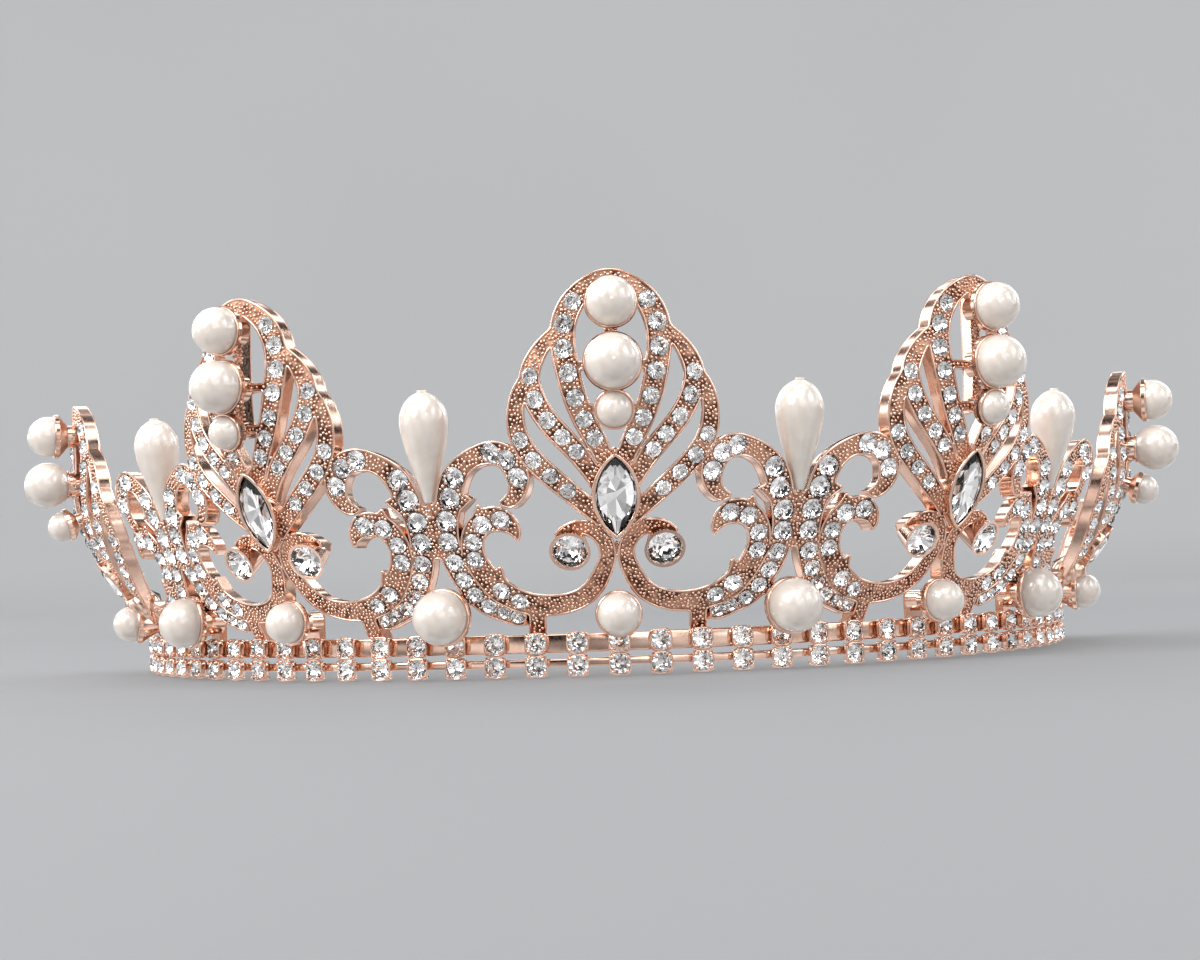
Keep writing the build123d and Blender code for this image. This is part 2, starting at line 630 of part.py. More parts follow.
def save_scrolls(tall_scroll, low_scroll):
    """Both scrolls of every palmette and the crystals set in them."""
    for name, place in PALMETTES.items():
        is_low = is_end(place, PALMETTES)
        right = low_scroll if is_low else tall_scroll
        stones = [front_seat(x, z, 0, LEAN_RISE_TALL) * round_stone(size)
                  for x, z, size in SCROLL_STONES]
        if not is_low:
            stones.append(collet_place(COLLET_SEAT) * round_stone(COLLET_STONE_DIAMETER))
        stones += [mirror(stone, about=Plane.YZ) for stone in stones]
        save(f"right_scroll_{name}", [turn(right, place)])
        save(f"left_scroll_{name}", [turn(mirror(right, about=Plane.YZ), place)])
        save(f"scroll_crystals_{name}", [turn(stone, place) for stone in stones])


def save_drops(inner, outer_plus):
    """Drop ornaments with their drop pearls and crystals."""
    pearl = drop_place() * drop_pearl()
    for name, place in DROPS.items():
        reaches = (1.0, 1.0)
        frame = inner
        if is_end(place, DROPS):
            reaches = (LOW_SIDE_REACH, 1.0) if place > 0 else (1.0, LOW_SIDE_REACH)
            frame = outer_plus if place > 0 else mirror(outer_plus, about=Plane.YZ)
        stones = [front_seat(x, z, 1, LEAN_RISE_TALL) * round_stone(size)
                  for x, z, size in drop_stones(reaches[0])]
        stones += [front_seat(-x, z, 1, LEAN_RISE_TALL) * round_stone(size)
                   for x, z, size in drop_stones(reaches[1])]
        save(f"drop_frame_{name}", [turn(frame, place)])
        save(f"drop_crystals_{name}", [turn(stone, place) for stone in stones])
        save(f"drop_pearl_{name}", [turn(pearl, place)])


def save_base_pearls(small_cup, large_cup):
    """The row of round pearls on top of the band, with their cups."""
    for label, cup, pearl, places in (
            ("small", small_cup, SMALL_BASE_PEARL, PALMETTES.values()),
            ("large", large_cup, LARGE_BASE_PEARL, DROPS.values())):
        distance, height, radius = pearl
        ball = Pos(0, -distance, height) * Sphere(radius)
        save(f"base_pearls_{label}", [turn(ball, place) for place in places])
        save(f"base_pearl_cups_{label}", [turn(cup, place) for place in places])


def main():
    os.makedirs("parts", exist_ok=True)
    save_band()
    small_cup = base_cup(SMALL_BASE_PEARL, UPPER_RAIL[1])
    large_cup = base_cup(LARGE_BASE_PEARL, UPPER_RAIL[1])
    save_base_pearls(small_cup, large_cup)

    tall = palmette(low=False)
    low = cut_all(palmette(low=True), [small_cup])
    save_palmettes(tall, low)
    save_scrolls(scroll(False, small_cup), scroll(True, small_cup))
    inner = drop_frame(1.0, 1.0, False, large_cup)
    outer = drop_frame(LOW_SIDE_REACH, 1.0, True, large_cup)
    save_drops(inner, outer)


main()
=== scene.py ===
import json
import math
import random

import bpy
import numpy as np
from mathutils import Matrix, Vector
from mathutils.bvhtree import BVHTree
from mathutils.kdtree import KDTree


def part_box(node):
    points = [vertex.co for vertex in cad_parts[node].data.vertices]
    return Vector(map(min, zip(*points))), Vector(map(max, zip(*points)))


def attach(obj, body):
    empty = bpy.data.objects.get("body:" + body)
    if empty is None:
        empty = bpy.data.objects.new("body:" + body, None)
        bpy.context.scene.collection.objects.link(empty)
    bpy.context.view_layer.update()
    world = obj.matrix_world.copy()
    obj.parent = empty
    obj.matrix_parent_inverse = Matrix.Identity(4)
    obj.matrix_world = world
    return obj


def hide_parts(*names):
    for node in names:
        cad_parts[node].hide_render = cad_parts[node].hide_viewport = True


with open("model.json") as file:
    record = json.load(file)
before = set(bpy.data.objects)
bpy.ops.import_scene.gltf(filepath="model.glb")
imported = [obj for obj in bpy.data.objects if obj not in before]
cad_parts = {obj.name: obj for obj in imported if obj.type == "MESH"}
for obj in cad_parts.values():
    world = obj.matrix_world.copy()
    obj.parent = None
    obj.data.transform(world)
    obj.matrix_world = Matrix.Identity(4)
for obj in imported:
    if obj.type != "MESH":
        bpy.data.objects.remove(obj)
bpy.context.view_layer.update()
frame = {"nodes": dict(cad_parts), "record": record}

# Bridal tiara.  Everything is in metres in the CAD's frame: +Z up, the front faces -Y.
# Stones, pearls and castings take their places from the CAD nodes' meshes.  The castings
# are the CAD's own shapes with raised rims, pebbled grain and prongs added.

MM = 0.001
SEED = 7
BODY = "root"

PALMETTES = ("far_left", "left", "centre", "right", "far_right")
DROPS = ("outer_left", "inner_left", "inner_right", "outer_right")

# casting relief
RIM_RADIUS = 0.17 * MM
RIM_INSET = 0.11 * MM
RIM_SPACING = 0.3 * MM
BACK_RIM_RADIUS = 0.13 * MM
BACK_RIM_INSET = 0.09 * MM
GRAIN_RADIUS = 0.24 * MM
GRAIN_PITCH = 0.43 * MM
GRAIN_TO_EDGE = 0.36 * MM
GRAIN_TO_STONE = 0.12 * MM
PRONG_RADIUS = 0.29 * MM
SEAT_ROOM = 0.05 * MM           # space under a stone's point in its opened seat
FLOOR_SLACK = 0.01 * MM
SEAT_FOOT_SHARE = 0.55          # foot of the opened seat over the stone's radius
SAME_SURFACE = math.cos(math.radians(25))
SAME_PLANE = 0.9999             # least cosine between normals of one flat face
FLAT = 0.9995                   # a surface that bends less than this is a seat's floor
LEAST_SURFACE = 2 * MM ** 2
PEARL_SEAT = 0.1 * MM           # a pearl's seat is within this of the pearl
FRONT_FACING = 0.55             # least cosine between a front face and its ornament's outward
TOUCHING = 0.04 * MM            # castings this close are soldered together
TOUCH_DEPTH = 0.5 * MM          # how far under an edge that is tested
EDGE_DROP = -0.3                # cosines of a free edge's wall with inward and outward
EDGE_TURN = 0.2
SEAT_SLACK = 0.05 * MM
SEAT_FIT = 0.06 * MM
SEAT_REACH = 1.5 * MM
SEAT_SEARCH = 2 * MM            # round a casting's box, for stones that it holds
RIM_LIFT = 0.02 * MM

# round stones, from the surface that the CAD's stone is sunk in
STONE_SINK = 0.55 * MM
STONE_GIRDLE = 0.16 * MM
STONE_CROWN = 0.66 * MM
STONE_TABLE_SHARE = 0.54
STONE_LOWER_SHARE = 0.35        # where the back's lower facets end
STONE_EDGE = 0.1 * MM
STONE_TILT = 0.04
FULL_DEPTH_RADIUS = 1.1 * MM    # smaller stones are shallower
STONE_DEPTH = 0.95 * MM
COLLET_STONE_RADIUS = 2.0 * MM  # larger round stones sit in collets
COLLET_STONE_DEPTH = 1.3 * MM
COLLET_CROWN_SHARE = 1.35       # crown of a collet stone over that of a small one

# grain, prongs and settings
GRAIN_TRIES = 22                # random tries for each grain that fits
GRAIN_SIZES = (0.85, 0.3)       # least size and random part, over GRAIN_RADIUS
GRAIN_TO_PEARL = 0.3 * MM
STONE_HOLD = 3 * MM             # a stone clears grains within this of its plane
BEAD_SIDES = 6
BEAD_RINGS = ((0.62, 0.74, 0.5), (-0.1, 1.0, 0.0))  # height, radius and turn as shares
BEAD_FOOT = 0.6
BEAD_POINTS = 2 + 2 * BEAD_SIDES
BEAD_START = (0.31, 0.2, 0.93)
TUBE_START = (0.3, 0.5, 0.8)
TUBE_TIP = 0.6
TUBE_SIDES = 8
PRONG_GAP = 1.5 * MM            # stones nearer than this share a pair of prongs
PRONG_SPREAD = 0.72
PRONG_LIFT = 0.08 * MM
BEZEL_LIP_HEIGHT = 1.5 * MM     # above the flat back of the CAD's marquise
BEZEL_LIP_RADIUS = 0.26 * MM
BEZEL_LIP_GROWTH = (0.7 * MM, 0.46 * MM)    # over the marquise's length and width
BEZEL_LIP_STEPS = 26
LIP_STEPS = 40
CUP_LIP_OFFSET = 0.16 * MM
CUP_LIP_RADIUS = 0.2 * MM
CUP_SEAT_SLACK = 0.04 * MM
COLLET_LIP_OFFSET = 0.14 * MM
COLLET_LIP_HEIGHT = 0.1 * MM
COLLET_LIP_RADIUS = 0.18 * MM
COLLET_WALL = 0.7 * MM
WEB_TOP = 1.3 * MM              # below the marquise's tip
WEB_FOOT = 3.2 * MM
WEB_PITCH = 0.32 * MM
WEB_REACH = 0.9 * MM
WEB_LAP = 0.12 * MM
WEB_SINK = 0.1 * MM
MARQUISE_FACETS = 6             # facets along each side
MARQUISE_RINGS = ((1.0, 1.0, 0.56), (1.0, 1.0, 0.4), (0.6, 0.5, 0.86))  # girdle, under, table
KEEL_SHARE = 0.04
KEEL_LIFT = 0.35 * MM

# band
RAIL_CORNER = 0.22 * MM
RAIL_STEPS = 160
EYELET_CORNER = 0.35 * MM
EYELET_STEPS = 48
CUP_DEPTH = 1.1 * MM
CUP_SIDES = 32
CUP_RINGS = (   # radius over the stone's, height and squareness
    (0.84, -CUP_DEPTH, 5.0), (1.0, -CUP_DEPTH * 0.55, 5.0), (1.09, -0.12 * MM, 4.5),
    (1.11, 0.02 * MM, 4.0), (1.06, 0.12 * MM, 3.0), (0.985, 0.08 * MM, 2.0),
    (0.93, -0.3 * MM, 2.0),
)
CLAW_PATH = ((1.15, -1.0 * MM), (1.22, -0.3 * MM), (1.2, 0.12 * MM), (1.06, 0.38 * MM),
             (0.9, 0.5 * MM))
CLAW_RADII = (0.2 * MM, 0.21 * MM, 0.22 * MM, 0.22 * MM, 0.18 * MM)
CORNERS = ((1, 1), (-1, 1), (-1, -1), (1, -1))
CORNER_STEPS = 3

# stage
STAGE_RADIUS = 0.8
STAGE_CURVE = 0.7
STAGE_HEIGHT = 1.6
STAGE_SIDES = 64
FLOOR_STEPS = 8
CURVE_STEPS = 16
PAPER_DARK = (0.15, 0.155, 0.163)
PAPER_LIGHT = (0.165, 0.17, 0.178)
# PAPER_GLOW is painted light: the paper's own glow, by distance from the tiara, lifts the tiara's
# shadow on the near floor and makes up for the lamps' falloff further out
PAPER_GLOW = ((0.15, 0.12), (0.4, 0.22), (0.5, 0.285), (0.65, 0.295), (0.8, 0.32))
PAPER_REACH = 2.0           # metres, of which the glow's positions are shares
ROOM_PATCH = 1 / 2.4
ROOM_STRENGTH = 0.92
ROOM_BLUE = 1.02
TABLE_EDGE = ((0.0, 0.0), (0.08, 1.0))
TABLE_TONES = ((0.37, 0.3), (0.6, 1.25))
ROOM_TONES = ((0.37, 0.01), (0.46, 0.1), (0.52, 0.7), (0.6, 3.8))
SOFT_BOXES = (  # name, place, size, power, colour
    ("key", (-0.48, -0.40, 0.44), (0.3, 0.38), 3.9, (1.0, 0.98, 0.96)),
    ("top", (0.02, -0.42, 0.55), (0.35, 0.25), 0.8, (1.0, 1.0, 1.0)),
    ("side", (0.6, -0.4, 0.4), (0.2, 0.3), 0.6, (0.95, 0.97, 1.0)),
    ("rim_left", (-0.5, 0.35, 0.35), (0.15, 0.3), 1.2, (1.0, 1.0, 1.0)),
    ("rim_right", (0.5, 0.35, 0.35), (0.15, 0.3), 1.2, (1.0, 1.0, 1.0)),
)
LIT_POINT = (0.0, -0.03, 0.03)
CAMERA_PLACE = (-0.0070, -0.3229, 0.01365)
CAMERA_TURN = (1.21, 2.86, -2.04)   # yaw, pitch and roll in degrees
CAMERA_LENS = 55.94


# ---- materials
ROSE_LIGHT = (0.84, 0.60, 0.48)
ROSE_MID = (0.68, 0.43, 0.325)
ROSE_DEEP = (0.56, 0.32, 0.22)
# the darkest rose tone is painted shade, far darker than bare rose gold: it darkens the cast
# ground between grains and stones where shade falls in those hollows
ROSE_PAINTED_SHADE = (0.12, 0.055, 0.035)


class Nodes:
    """Short calls for building the nodes of a material or a world."""

    def __init__(self, owner, shader="Principled BSDF", place="Object"):
        owner.use_nodes = True
        self.owner = owner
        self.tree = owner.node_tree
        self.shader = self.tree.nodes[shader]
        self.place = self.node("TexCoord").outputs[place]

    def node(self, kind):
        """A new node."""
        return self.tree.nodes.new(f"ShaderNode{kind}")

    def link(self, source, target):
        """Link to a socket, or to the shader's socket of that name."""
        target = self.shader.inputs[target] if isinstance(target, str) else target
        self.tree.links.new(source, target)

    def noise(self, size, detail=3.0, roughness=0.55):
        """Noise whose blotches are about size across."""
        node = self.node("TexNoise")
        node.inputs["Scale"].default_value = 1.0 / size
        node.inputs["Detail"].default_value = detail
        node.inputs["Roughness"].default_value = roughness
        self.link(self.place, node.inputs["Vector"])
        return node.outputs["Fac"]

    def ramp(self, value, stops):
        """Colours, or greys given as one number, at positions of a value."""
        node = self.node("ValToRGB")
        elements = node.color_ramp.elements
        elements.remove(elements[1])
        for number, (position, colour) in enumerate(stops):
            element = elements[0] if number == 0 else elements.new(position)
            element.position = position
            colour = (colour,) * 3 if isinstance(colour, float) else colour
            element.color = (*colour, 1.0)
        self.link(value, node.inputs["Fac"])
        return node.outputs["Color"]

    def bump(self, height, depth, strength):
        """Bump of a 0 to 1 height, depth metres deep, on the shader."""
        node = self.node("Bump")
        node.inputs["Strength"].default_value = strength
        node.inputs["Distance"].default_value = depth
        self.link(height, node.inputs["Height"])
        self.link(node.outputs["Normal"], "Normal")

    def set(self, **values):
        """Constants straight on the shader's sockets."""
        for name, value in values.items():
            self.shader.inputs[name.replace("_", " ")].default_value = value


def coat(name, patches, colours, marks, roughness, bump=None, **values):
    """Material whose colour and roughness vary.

    patches and marks are the noises that choose them, as (size, detail).  Without patches
    each loose part of the mesh has its own colour.  bump is the marks' depth and strength."""
    n = Nodes(bpy.data.materials.new(name))
    if patches:
        choice = n.noise(*patches)
    else:
        choice = n.node("NewGeometry").outputs["Random Per Island"]
    n.link(n.ramp(choice, colours), "Base Color")
    height = n.noise(*marks)
    n.link(n.ramp(height, roughness), "Roughness")
    if bump:
        n.bump(height, *bump)
    n.set(**values)
    return n


def all_materials():
    """Ground, back, grains and polished parts of the metal, crown and foil, and pearl."""
    found = [
        # cast ground: its colour is painted shade in random blotches, darker than the grains on
        # it, standing in for the shade in the hollows between grains and stones
        coat("cast_rose_gold_ground_painted_shade", (2.0 * MM, 3.0), ((0.4, ROSE_PAINTED_SHADE), (0.56, ROSE_DEEP)),
             (0.12 * MM, 2.0), ((0.3, 0.28), (0.75, 0.45)), (0.03 * MM, 0.8), Metallic=1.0),
        coat("cast_rose_gold_back", (3.0 * MM, 4.0), ((0.3, ROSE_DEEP), (0.7, ROSE_MID)),
             (0.25 * MM, 3.0), ((0.3, 0.36), (0.75, 0.5)), (0.015 * MM, 0.5), Metallic=1.0),
        coat("cast_rose_gold_grain", None, ((0.0, ROSE_MID), (1.0, ROSE_LIGHT)),
             (0.2 * MM, 2.0), ((0.3, 0.14), (0.75, 0.26)), (0.01 * MM, 0.5), Metallic=1.0),
        coat("polished_rose_gold_plate", (4.0 * MM, 3.0), ((0.3, ROSE_MID), (0.7, ROSE_LIGHT)),
             (0.35 * MM, 3.0), ((0.3, 0.09), (0.75, 0.2)), (0.01 * MM, 0.35), Metallic=1.0),
        coat("crystal_crown", None, ((0.0, (0.97, 0.97, 0.98)), (1.0, (1.0, 1.0, 1.0))),
             (0.6 * MM, 3.0), ((0.4, 0.0), (0.8, 0.02)), Transmission_Weight=1.0, IOR=1.52),
        coat("crystal_foil_back", None, ((0.0, (0.78, 0.77, 0.76)), (1.0, (0.99, 0.98, 0.97))),
             (0.3 * MM, 3.0), ((0.3, 0.02), (0.8, 0.07)), Metallic=1.0),
        coat("ivory_pearl_lustre", (2.2 * MM, 2.0),
             ((0.3, (0.63, 0.57, 0.51)), (0.7, (0.70, 0.645, 0.585))),
             (0.8 * MM, 3.0), ((0.3, 0.4), (0.7, 0.5)), Subsurface_Weight=0.5,
             Subsurface_Scale=2.0 * MM, Subsurface_Radius=(1.0, 0.8, 0.6), Coat_Weight=1.0,
             Coat_Roughness=0.2, Coat_IOR=1.9, Sheen_Weight=0.1, Sheen_Roughness=0.4),
    ]
    pearl = found[-1]
    pearl.bump(pearl.noise(0.5 * MM), 0.004 * MM, 0.3)
    return [nodes.owner for nodes in found]


# ---- meshes
def add_piece(name, parts, materials, replaced=()):
    """One object from (points, [(faces, material number)], smooth) parts."""
    points, faces = [], []
    numbers, smooths, start = [], [], 0
    for part_points, groups, smooth in parts:
        points.append(np.asarray(part_points, float))
        for part_faces, number in groups:
            faces += [tuple(int(i) + start for i in face) for face in part_faces]
            numbers += [number] * len(part_faces)
            smooths += [smooth] * len(part_faces)
        start += len(part_points)
    mesh = bpy.data.meshes.new(name)
    mesh.from_pydata(np.concatenate(points).tolist(), [], faces)
    mesh.polygons.foreach_set("use_smooth", smooths)
    add_mesh(name, mesh, numbers, materials, replaced)


def add_mesh(name, mesh, numbers, materials, replaced=()):
    """One object from a mesh and its faces' material numbers, riding with the tiara."""
    mesh.materials.clear()
    for material in materials:
        mesh.materials.append(material)
    mesh.polygons.foreach_set("material_index", numbers)
    mesh.update()
    piece = bpy.data.objects.new(name, mesh)
    bpy.context.scene.collection.objects.link(piece)
    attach(piece, BODY)
    if replaced:
        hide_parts(*replaced)


def smooth_part(shape, number=0):
    """A smooth part for add_piece from (points, faces), all in one material."""
    points, faces = shape
    return points, [(faces, number)], True


def rows_of(items, name, kind=float):
    """A three-number attribute of a mesh's vertices or faces."""
    values = np.empty(len(items) * 3, kind)
    items.foreach_get(name, values)
    return values.reshape(-1, 3)


def add_plated(name, parts, *replaced):
    """A polished piece."""
    add_piece(name, parts, (POLISHED,), replaced)


def node_arrays(name):
    """Welded points and triangles of a CAD node."""
    mesh = frame["nodes"][name].data
    mesh.calc_loop_triangles()
    unique, inverse = np.unique(rows_of(mesh.vertices, "co"), axis=0, return_inverse=True)
    triangles = inverse.reshape(-1)[rows_of(mesh.loop_triangles, "vertices", int)]
    a, b, c = triangles.T
    return unique, triangles[(a != b) & (b != c) & (c != a)]


def joined_labels(count, groups):
    """For each item the lowest number among the items that groups join it to."""
    label = np.arange(count)
    while True:
        spread = label.copy()
        lowest = label[groups].min(axis=1)
        np.minimum.at(spread, groups.ravel(), np.repeat(lowest, groups.shape[1]))
        spread = spread[spread]
        if np.array_equal(spread, label):
            return label
        label = spread


def split_islands(points, triangles):
    """The separate solids of a node, each as its own points and triangles."""
    label = joined_labels(len(points), triangles)[triangles[:, 0]]
    islands = []
    for root in np.unique(label):
        used, renumbered = np.unique(triangles[label == root], return_inverse=True)
        islands.append((points[used], renumbered.reshape(-1, 3)))
    return islands


def triangle_normals(points, triangles):
    """Unit normals and areas of triangles."""
    a, b, c = (points[triangles[:, i]] for i in range(3))
    cross = np.cross(b - a, c - a)
    length = np.linalg.norm(cross, axis=1)
    return cross / np.maximum(length, 1e-18)[:, None], length / 2


def unit(vector):
    """The same direction at length 1."""
    return np.asarray(vector, float) / np.linalg.norm(vector)


def cross_axes(axis, near=(0.0, 0.0, 1.0)):
    """Two unit vectors square to an axis, the second one towards near."""
    side = unit(np.cross(near, axis))
    return side, np.cross(axis, side)


def circle(count):
    """Angles of evenly spaced points round a circle."""
    return [2 * math.pi * i / count for i in range(count)]


def quads(rings, sides, closed=False, start=0, flipped=False):
    """Faces between rings of points, closed when the last ring joins the first."""
    faces = []
    for i in range(rings if closed else rings - 1):
        near = start + i * sides
        far = start + (i + 1) % rings * sides
        for k in range(sides):
            m = (k + 1) % sides
            face = (near + k, near + m, far + m, far + k)
            faces.append((face[0], *face[:0:-1]) if flipped else face)
    return faces


def end_fans(rings, sides):
    """Faces from the first and the last ring to the two points listed after the rings."""
    tip = rings * sides
    last = tip - sides
    faces = []
    for k in range(sides):
        m = (k + 1) % sides
        faces += [(tip, m, k), (tip + 1, last + k, last + m)]
    return faces


def tube(line, radii, closed, normals=None):
    """Round tube along a line, with rounded-off ends where it is open."""
    line = np.asarray(line, float)
    count = len(line)
    if closed:
        along = np.roll(line, -1, axis=0) - np.roll(line, 1, axis=0)
    else:
        along = np.gradient(line, axis=0)
    along /= np.linalg.norm(along, axis=1)[:, None]
    if normals is None:
        normals = np.zeros((count, 3))
        normal = cross_axes(along[0], TUBE_START)[1]
        for i in range(count):
            normal = unit(normal - along[i] * np.dot(normal, along[i]))
            normals[i] = normal
    second = np.cross(along, normals)
    turn = np.array(circle(TUBE_SIDES))
    ring = (normals[:, None, :] * np.cos(turn)[None, :, None]
            + second[:, None, :] * np.sin(turn)[None, :, None])
    radii = np.broadcast_to(radii, count)
    points = (line[:, None, :] + ring * radii[:, None, None]).reshape(-1, 3)
    faces = quads(count, TUBE_SIDES, closed)
    if not closed:
        tips = [line[0] - along[0] * radii[0] * TUBE_TIP,
                line[-1] + along[-1] * radii[-1] * TUBE_TIP]
        points = np.concatenate((points, tips))
        faces += end_fans(count, TUBE_SIDES)
    return points, faces


def bead(centre, axis, radius):
    """Small round grain of metal, half sunk in the surface below it."""
    side, up = cross_axes(axis, BEAD_START)
    points = [centre + axis * radius]
    for height, share, shift in BEAD_RINGS:
        for k in range(BEAD_SIDES):
            turn = (k + shift) * 2 * math.pi / BEAD_SIDES
            out = side * math.cos(turn) + up * math.sin(turn)
            points.append(centre + axis * radius * height + out * radius * share)
    points.append(centre - axis * radius * BEAD_FOOT)
    faces = []
    upper, lower, foot = 1, 1 + BEAD_SIDES, 1 + 2 * BEAD_SIDES
    for k in range(BEAD_SIDES):
        m = (k + 1) % BEAD_SIDES
        faces.append((0, upper + k, upper + m))
        faces.append((upper + k, lower + m, upper + m))
        faces.append((upper + k, lower + k, lower + m))
        faces.append((foot, lower + m, lower + k))
    return np.array(points), faces


def bead_field(places, radius):
    """One shape holding a grain at every (point, normal, share of the radius)."""
    points, faces = [], []
    for centre, axis, share in places:
        start = len(points) * BEAD_POINTS
        some, shape = bead(centre, axis, radius * share)
        points.append(some)
        faces += [tuple(i + start for i in face) for face in shape]
    return (np.concatenate(points), faces) if points else (np.zeros((0, 3)), [])


# ---- stones and pearls
class FlatBack:
    """A stone's place from its flat back in the CAD: outward axis, size and centre."""

    def __init__(self, points, triangles, lift):
        normals, areas = triangle_normals(points, triangles)
        same = (normals @ normals.T) > SAME_PLANE
        self.axis = -normals[np.argmax(same @ areas)]
        self.side, self.up = cross_axes(self.axis)
        height = points @ self.axis
        floor = points[height < height.min() + FLOOR_SLACK]
        across, along = floor @ self.side, floor @ self.up
        self.width = across.max() - across.min()
        self.length = along.max() - along.min()
        self.height = height.max() - height.min()
        self.radius = (self.width + self.length) / 4
        self.centre = (self.side * (across.max() + across.min()) / 2
                       + self.up * (along.max() + along.min()) / 2
                       + self.axis * (height.min() + lift))

    def offsets(self, points):
        """Points' heights over the centre, and distances and vectors from the axis."""
        away = points - self.centre
        along = away @ self.axis
        radial = away - along[..., None] * self.axis
        return along, np.linalg.norm(radial, axis=-1), radial


def stones_of(node):
    """Places of every round stone in a node, where the metal's surface cuts their axes."""
    return [FlatBack(*island, STONE_SINK) for island in split_islands(*node_arrays(node))]


def pearls_of(node):
    """Centre and radius of every round pearl in a node."""
    found = []
    for points, _ in split_islands(*node_arrays(node)):
        low, high = points.min(axis=0), points.max(axis=0)
        found.append(((low + high) / 2, float((high - low).mean() / 2)))
    return found


def brilliant(radius, crown, culet):
    """Points, crown faces and back faces of a round brilliant about local +Z.

    Heights are from the metal's surface."""
    table = radius * STONE_TABLE_SHARE
    star = table + (radius - table) / 2
    inward = math.cos(math.pi / 8)
    star_height = crown + (STONE_GIRDLE - crown) * (star * inward - table) / (radius - table)
    star_height = min(star_height, crown)
    low_girdle = STONE_GIRDLE - STONE_EDGE
    lower = radius * STONE_LOWER_SHARE
    lower_height = culet + (low_girdle - culet) * lower * inward / radius

    def ring(count, distance, height, shift):
        step = 2 * math.pi / count
        return [(distance * math.cos(step * (i + shift)), distance * math.sin(step * (i + shift)),
                 height) for i in range(count)]

    points = [(0.0, 0.0, crown)]
    points += ring(8, table, crown, 0.0)                # 1 to 8
    points += ring(8, star, star_height, 0.5)           # 9 to 16
    points += ring(16, radius, STONE_GIRDLE, 0.0)       # 17 to 32
    points += ring(16, radius, low_girdle, 0.0)         # 33 to 48
    points += ring(8, lower, lower_height, 0.5)         # 49 to 56
    points += [(0.0, 0.0, culet)]                       # 57
    front, back = [], []
    for k in range(8):
        after = (k + 1) % 8
        before = (k - 1) % 8
        main = 17 + 2 * k
        middle = 18 + 2 * k
        following = 17 + (2 * k + 2) % 16
        front += [(0, 1 + k, 1 + after), (1 + k, 9 + k, 1 + after),
                  (1 + k, 9 + before, main, 9 + k), (9 + k, main, middle),
                  (9 + k, middle, following)]
        back += [(main, main + 16, middle + 16, middle),
                 (middle, middle + 16, following + 16, following),
                 (57, 49 + k, main + 16, 49 + before), (49 + k, middle + 16, main + 16),
                 (49 + k, following + 16, middle + 16)]
    return np.array(points), front, back


def placed(points, centre, axis, turn=0.0):
    """Local points about +Z moved to a place, turned about its axis."""
    side, up = cross_axes(axis)
    c, s = math.cos(turn), math.sin(turn)
    first = side * c + up * s
    second = up * c - side * s
    return centre + points[:, :1] * first + points[:, 1:2] * second + points[:, 2:3] * axis


def culet_depth(stone):
    """How deep the pointed back of a stone reaches."""
    if stone.radius > COLLET_STONE_RADIUS:
        return COLLET_STONE_DEPTH
    return STONE_DEPTH * min(1.0, stone.radius / FULL_DEPTH_RADIUS)


def add_stones(node, stones, rng):
    """Faceted stones that stand for a node's plain ones."""
    parts = []
    for stone in stones:
        share = 1.0 if stone.radius < COLLET_STONE_RADIUS else COLLET_CROWN_SHARE
        local, front, back = brilliant(stone.radius, STONE_CROWN * share, -culet_depth(stone))
        tilt = np.array([rng.uniform(-STONE_TILT, STONE_TILT) for _ in range(3)])
        turn = rng.uniform(0, math.pi / 4)
        points = placed(local, stone.centre, unit(stone.axis + tilt), turn)
        parts.append((points, [(front, 0), (back, 1)], False))
    name = node.replace("crystals", "cut_crystals")
    add_piece(name, parts, (GLASS, FOIL), [node])


class Marquise(FlatBack):
    """A pointed oval stone's place, with its centre on its flat back."""

    def __init__(self, node):
        super().__init__(*node_arrays(node), 0.0)

    def outline(self, length, width, height, count=MARQUISE_FACETS):
        """Points round a pointed oval, anticlockwise, the tips among them."""
        half, wide = length / 2, width / 2
        radius = (half ** 2 + wide ** 2) / (2 * wide)
        reach = math.asin(half / radius)
        found = []
        for sign in (1, -1):
            for i in range(count):
                turn = -reach + 2 * reach * i / count
                x = radius * math.cos(turn) - (radius - wide)
                y = radius * math.sin(turn)
                found.append(self.centre + self.side * x * sign + self.up * y * sign
                             + self.axis * height)
        return np.array(found)


# ---- castings
def edge_pairs(triangles):
    """Every inner edge as its two triangles, and each directed edge's own triangle."""
    ends = np.concatenate((triangles[:, [0, 1]], triangles[:, [1, 2]], triangles[:, [2, 0]]))
    owner = np.tile(np.arange(len(triangles)), 3)
    low, high = ends.min(axis=1), ends.max(axis=1)
    order = np.lexsort((high, low))
    same = (low[order][1:] == low[order][:-1]) & (high[order][1:] == high[order][:-1])
    first = np.flatnonzero(same)
    return ends, owner, order[first], order[first + 1]


